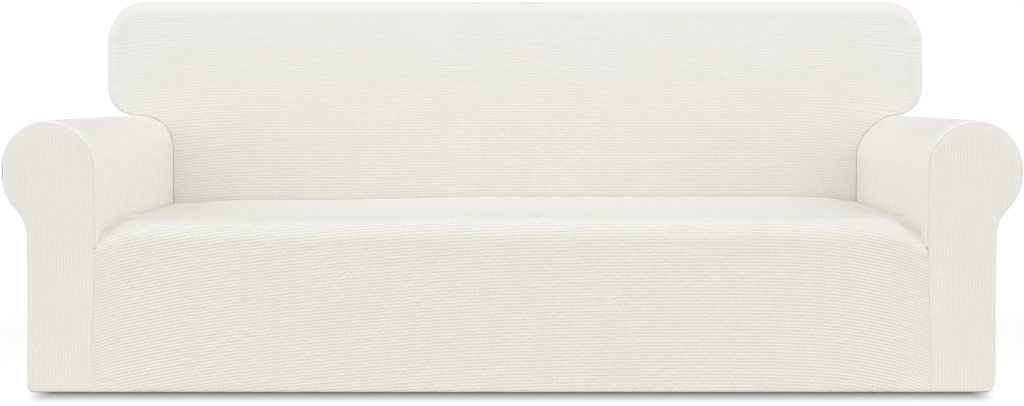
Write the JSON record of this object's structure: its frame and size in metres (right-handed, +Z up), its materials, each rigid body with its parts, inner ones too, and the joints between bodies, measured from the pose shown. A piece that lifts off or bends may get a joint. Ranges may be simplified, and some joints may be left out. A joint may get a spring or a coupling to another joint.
{
  "type": "sofa slipcover",
  "caption": "Fitted stretch-knit cover drawn over a sofa with rolled arms and an eared back, hollow inside, with fine ribs and a turned-under hem.",
  "frame": {"origin": "middle of the floor under the cover", "axes": "+X along the sofa to the viewer's right, -Y to the front, +Z up"},
  "size_m": [2.2786, 0.9049, 0.915],
  "materials": {
    "inside_back": "matt ivory rib knit",
    "outside_back": "matt ivory rib knit",
    "seat_skirt": "matt ivory rib knit",
    "arm_left": "matt ivory rib knit",
    "arm_right": "matt ivory rib knit",
    "arm_front_left": "matt ivory rib knit",
    "arm_front_right": "matt ivory rib knit"
  },
  "bodies": {
    "root": {"inside_back": "inside_back", "outside_back": "outside_back", "seat_skirt": "seat_skirt", "arm_left": "arm_left", "arm_right": "arm_right", "arm_front_left": "arm_front_left", "arm_front_right": "arm_front_right"}
  },
  "joints": []
}
